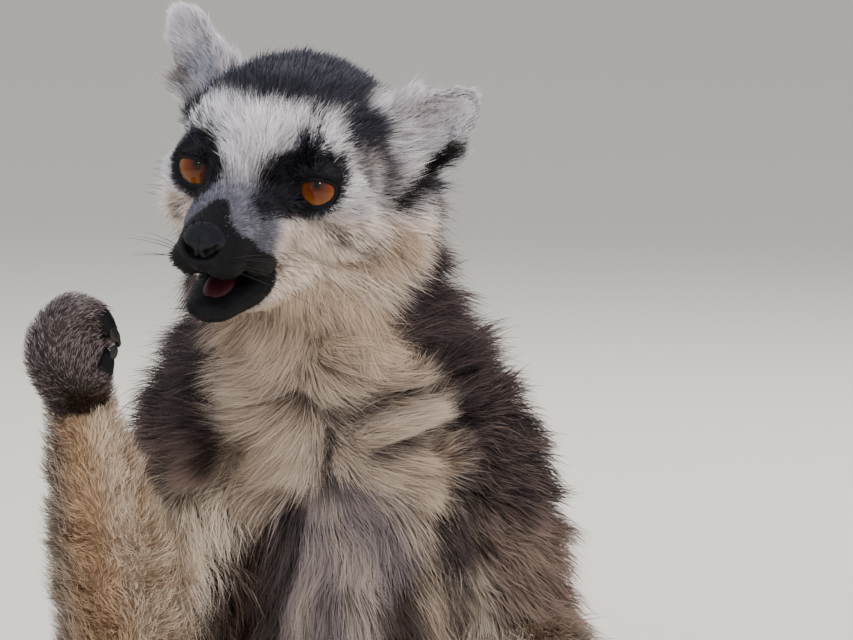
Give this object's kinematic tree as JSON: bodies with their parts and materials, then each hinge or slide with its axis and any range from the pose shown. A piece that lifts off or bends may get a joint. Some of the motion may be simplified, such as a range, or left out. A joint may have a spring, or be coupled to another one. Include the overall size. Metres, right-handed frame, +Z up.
{
  "type": "ring-tailed lemur model",
  "caption": "Life-size museum model of a ring-tailed lemur sitting upright, head turned, one hand raised in a loose fist, ringed tail laid round on the floor",
  "frame": {"origin": "middle of the bounding box on the floor it sits on", "axes": "+X is the animal's left and the shortest side of the box, -Y is its front, +Z is up"},
  "size_m": [0.3021, 0.3807, 0.3797],
  "materials": {
    "pale_coat": "dense matt fur, white to cream with a grey undertone",
    "dark_coat": "dense matt fur, grey-brown, with black and white bands on the tail",
    "bare_skin": "bare or thinly haired black skin, slightly moist on the nose, with dark nails",
    "eye": "wet amber eye with a small dark pupil",
    "tongue": "moist dark pink tongue and mouth lining"
  },
  "bodies": {
    "root": {"abdomen": "dark_coat", "chest": "pale_coat", "ear_left": "pale_coat", "ear_right": "pale_coat", "eye_left": "eye", "eye_right": "eye", "foot_left": "bare_skin", "foot_right": "bare_skin", "forearm_left": "pale_coat", "forearm_right": "pale_coat", "hand_left": "bare_skin", "hand_right": "bare_skin", "head": "pale_coat", "lower_jaw": "bare_skin", "neck": "pale_coat", "shank_left": "pale_coat", "shank_right": "pale_coat", "tail_1": "dark_coat", "tail_2": "dark_coat", "tail_3": "dark_coat", "tail_4": "dark_coat", "thigh_left": "dark_coat", "thigh_right": "dark_coat", "tongue": "tongue", "upper_arm_left": "dark_coat", "upper_arm_right": "dark_coat"}
  },
  "joints": []
}
